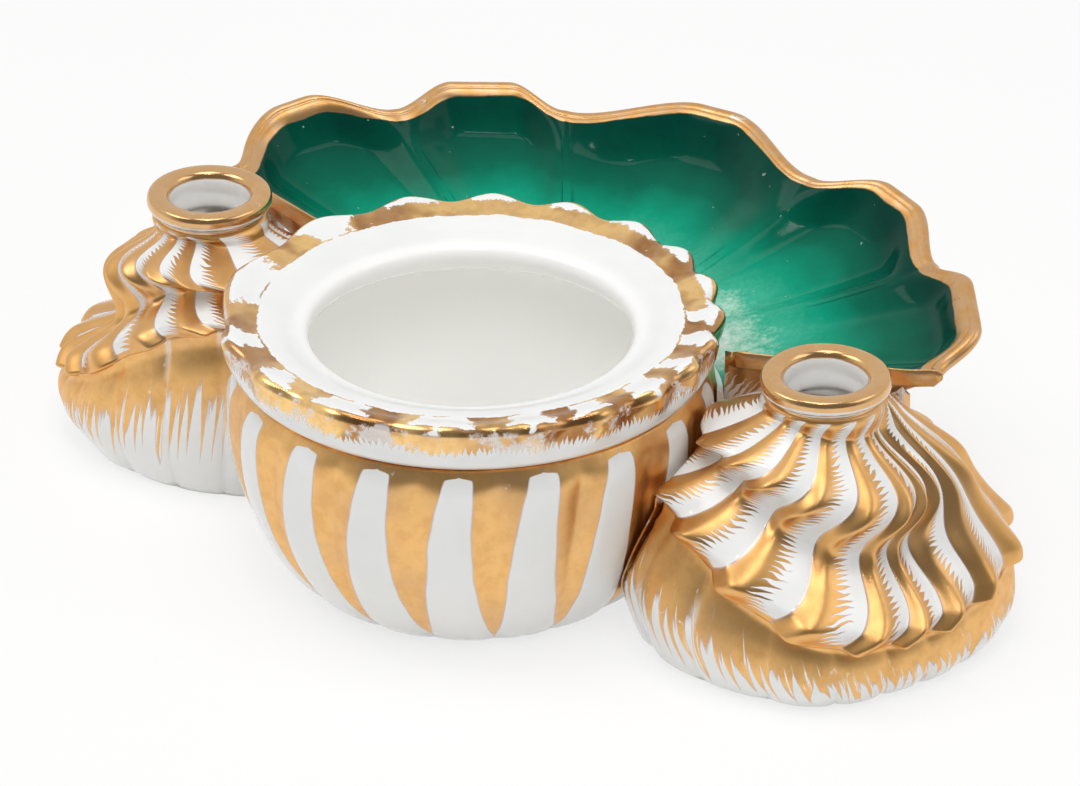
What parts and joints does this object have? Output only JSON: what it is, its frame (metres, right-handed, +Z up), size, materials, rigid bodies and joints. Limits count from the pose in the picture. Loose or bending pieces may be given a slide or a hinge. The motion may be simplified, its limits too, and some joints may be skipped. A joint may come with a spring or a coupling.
{
  "type": "desk inkstand",
  "caption": "Gilded porcelain desk inkstand: an open fluted pot between two shell-shaped inkwells, with a scallop pen tray behind.",
  "frame": {"origin": "centre of the pot's foot, on the desk", "axes": "+X to the right along the line of the two inkwells, +Y back towards the pen tray, +Z up"},
  "size_m": [0.2694, 0.1892, 0.071],
  "materials": {
    "white_porcelain": "clear glaze over white porcelain",
    "gilding": "burnished gilding over the glaze",
    "green_glaze": "shaded green ground under a clear glaze"
  },
  "bodies": {
    "root": {"pot_body": "white_porcelain", "pot_collar": "gilding", "scallop_tray": "green_glaze", "tray_pot_seam": "white_porcelain", "right_well_lower": "white_porcelain", "right_well_upper": "gilding", "right_mouth_ring": "gilding", "right_pot_seam": "white_porcelain", "right_tray_seat": "white_porcelain", "left_well_lower": "white_porcelain", "left_well_upper": "gilding", "left_mouth_ring": "gilding", "left_pot_seam": "white_porcelain", "left_tray_seat": "white_porcelain"}
  },
  "joints": []
}
